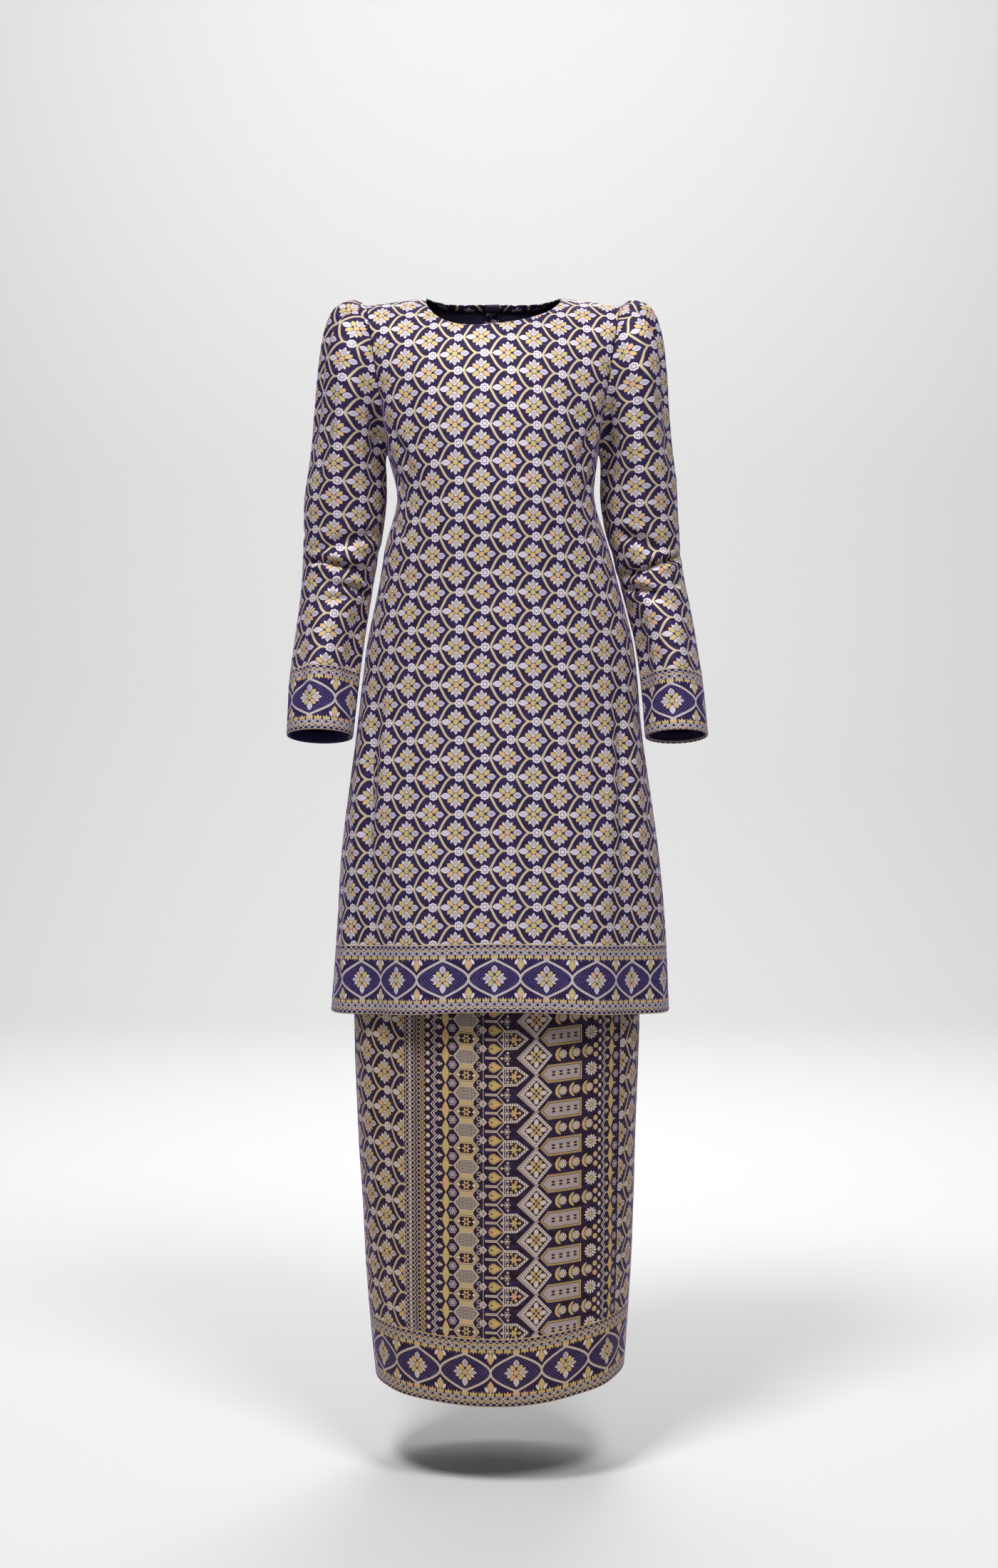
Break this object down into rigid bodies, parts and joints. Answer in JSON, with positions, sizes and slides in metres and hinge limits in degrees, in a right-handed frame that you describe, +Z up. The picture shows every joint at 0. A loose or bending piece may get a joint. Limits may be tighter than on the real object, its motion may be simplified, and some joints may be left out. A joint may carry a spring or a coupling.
{
  "type": "worn baju kurung set",
  "caption": "Hollow worn baju kurung: hip-covering tunic with round neck and puff-head long sleeves over a long straight skirt, in patterned brocade.",
  "frame": {"origin": "midway between the two shoulder points, where the wearer's shoulders carry the tunic", "axes": "+Z up, the front faces -Y, and +X is the wearer's left"},
  "size_m": [0.5279, 0.2898, 1.3717],
  "materials": {
    "songket": "satin brocade, silver and gold figures on navy purple",
    "songket_skirt": "satin brocade with an upright panel of bands",
    "waistband": "matt elastic casing",
    "button": "satin covered button"
  },
  "bodies": {
    "root": {"tunic_front": "songket", "tunic_back_right": "songket", "tunic_back_left": "songket", "sleeve_right": "songket", "sleeve_left": "songket", "skirt_front": "songket_skirt", "skirt_back": "songket_skirt", "skirt_waistband": "waistband", "neck_button": "button"}
  },
  "joints": []
}
